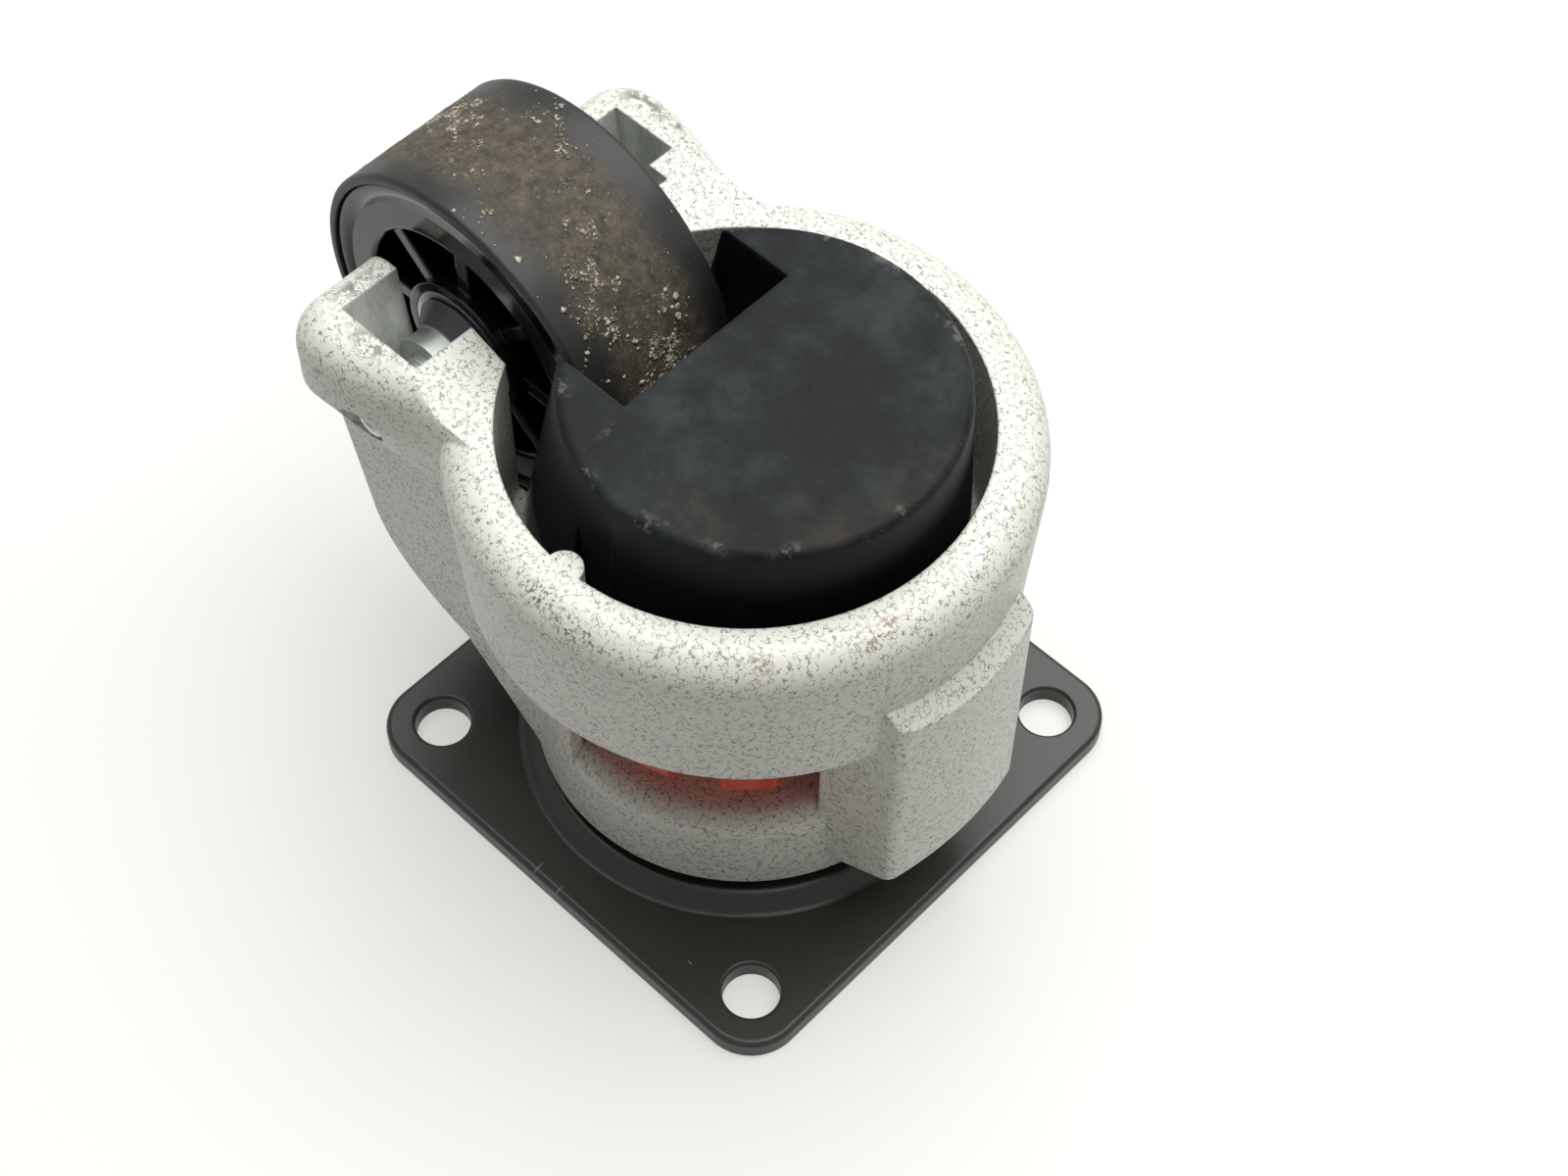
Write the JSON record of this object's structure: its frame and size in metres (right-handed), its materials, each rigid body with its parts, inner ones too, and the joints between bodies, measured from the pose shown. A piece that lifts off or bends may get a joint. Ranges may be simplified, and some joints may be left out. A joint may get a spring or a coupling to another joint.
{
  "type": "levelling castor",
  "caption": "Heavy duty swivel castor on a square top plate, with a thumb dial that winds a rubber levelling foot past the wheel.",
  "frame": {"origin": "centre of the top plate's mounting face, on the swivel axis", "axes": "+Z along the swivel axis away from the mounting face, towards wheel and foot; -X towards the wheel at rest; +Y along the wheel's axle"},
  "size_m": [0.0998, 0.073, 0.0848],
  "materials": {
    "black_steel": "satin",
    "speckled_paint": "satin",
    "steel": "satin",
    "zinc_steel": "satin",
    "ball_steel": "polished",
    "seal_rubber": "matte",
    "white_nylon": "matte",
    "red_plastic": "gloss",
    "black_nylon": "gloss",
    "pad_rubber": "matte",
    "tyre_rubber": "matte"
  },
  "bodies": {
    "plate": {"top_plate": "black_steel", "kingpin": "steel", "cup_washer": "steel", "kingpin_nut": "steel"},
    "housing": {"housing": "speckled_paint", "housing_race": "steel", "inner_race": "steel", "swivel_balls": "ball_steel", "ball_cage": "steel", "kingpin_balls": "ball_steel", "dust_seal": "seal_rubber", "lower_thrust_washer": "white_nylon", "upper_thrust_washer": "white_nylon", "axle": "zinc_steel", "axle_bushes": "zinc_steel", "axle_screws": "zinc_steel", "bearing_inner_rings": "steel", "bearing_spacer": "steel"},
    "wheel": {"wheel_core": "black_nylon", "tyre": "tyre_rubber", "bearing_outer_rings": "steel", "bearing_balls": "ball_steel", "bearing_shields": "steel"},
    "dial": {"dial": "red_plastic", "dial_nut": "steel"},
    "foot": {"foot_stem": "steel", "foot_body": "black_nylon", "foot_pad": "pad_rubber"}
  },
  "joints": [
    {"name": "swivel", "type": "hinge", "parent": "plate", "child": "housing", "pos_m": [0, 0, 0], "axis": [0, 0, 1], "continuous": true},
    {"name": "wheel_spin", "type": "hinge", "parent": "housing", "child": "wheel", "pos_m": [-0.0372, 0, 0.0602], "axis": [0, 1, 0], "continuous": true},
    {"name": "dial_spin", "type": "hinge", "parent": "housing", "child": "dial", "pos_m": [0, 0, 0.0316], "axis": [0, 0, -1], "range_deg": [0, 2160]},
    {"name": "foot_slide", "type": "slide", "parent": "housing", "child": "foot", "axis": [0, 0, 1], "range_m": [0, 0.012]}
  ],
  "couplings": [
    {"joint": "foot_slide", "follows": "dial_spin", "m_per_rad": 0.00031831}
  ]
}
